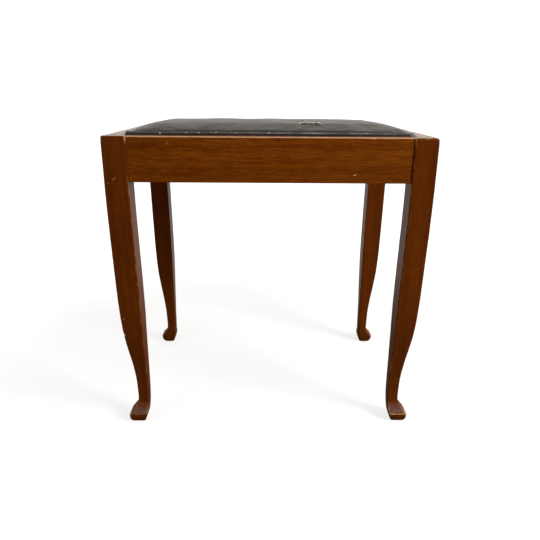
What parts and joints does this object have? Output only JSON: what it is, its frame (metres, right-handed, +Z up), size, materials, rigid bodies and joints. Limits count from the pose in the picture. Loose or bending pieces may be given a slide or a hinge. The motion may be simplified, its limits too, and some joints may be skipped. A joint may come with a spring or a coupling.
{
  "type": "piano stool",
  "caption": "Wooden piano stool with shaped legs on small turned-out feet and a loose, crowned seat pad in black leathercloth that lifts out of its frame.",
  "frame": {"origin": "on the floor under the middle of the stool", "axes": "+Z up, +X to the sitter's right seen from the front, front of the stool towards -Y"},
  "size_m": [0.5, 0.357, 0.508],
  "materials": {
    "frame_wood": "reddish-brown straight-grained hardwood, satin varnish rubbed at the edges",
    "block_wood": "sawn beech, unvarnished",
    "plywood": "birch plywood, unvarnished",
    "foam": "aged seat foam",
    "leathercloth": "black coated leathercloth, fine grain, low sheen",
    "screw_steel": "plain steel, dulled",
    "tack_steel": "blued steel"
  },
  "bodies": {
    "frame": {"leg_front_left": "frame_wood", "leg_front_right": "frame_wood", "leg_back_left": "frame_wood", "leg_back_right": "frame_wood", "front_rail": "frame_wood", "back_rail": "frame_wood", "left_rail": "frame_wood", "right_rail": "frame_wood", "corner_block_front_left": "block_wood", "corner_block_front_right": "block_wood", "corner_block_back_left": "block_wood", "corner_block_back_right": "block_wood", "front_bearer": "block_wood", "back_bearer": "block_wood", "corner_block_screws": "screw_steel", "bearer_screws": "screw_steel"},
    "seat": {"seat_board": "plywood", "seat_foam": "foam", "seat_cover": "leathercloth", "cover_tacks": "tack_steel"}
  },
  "joints": [
    {"name": "seat_lift", "type": "slide", "parent": "frame", "child": "seat", "axis": [0, 0, 1], "range_m": [0, 0.12]}
  ]
}
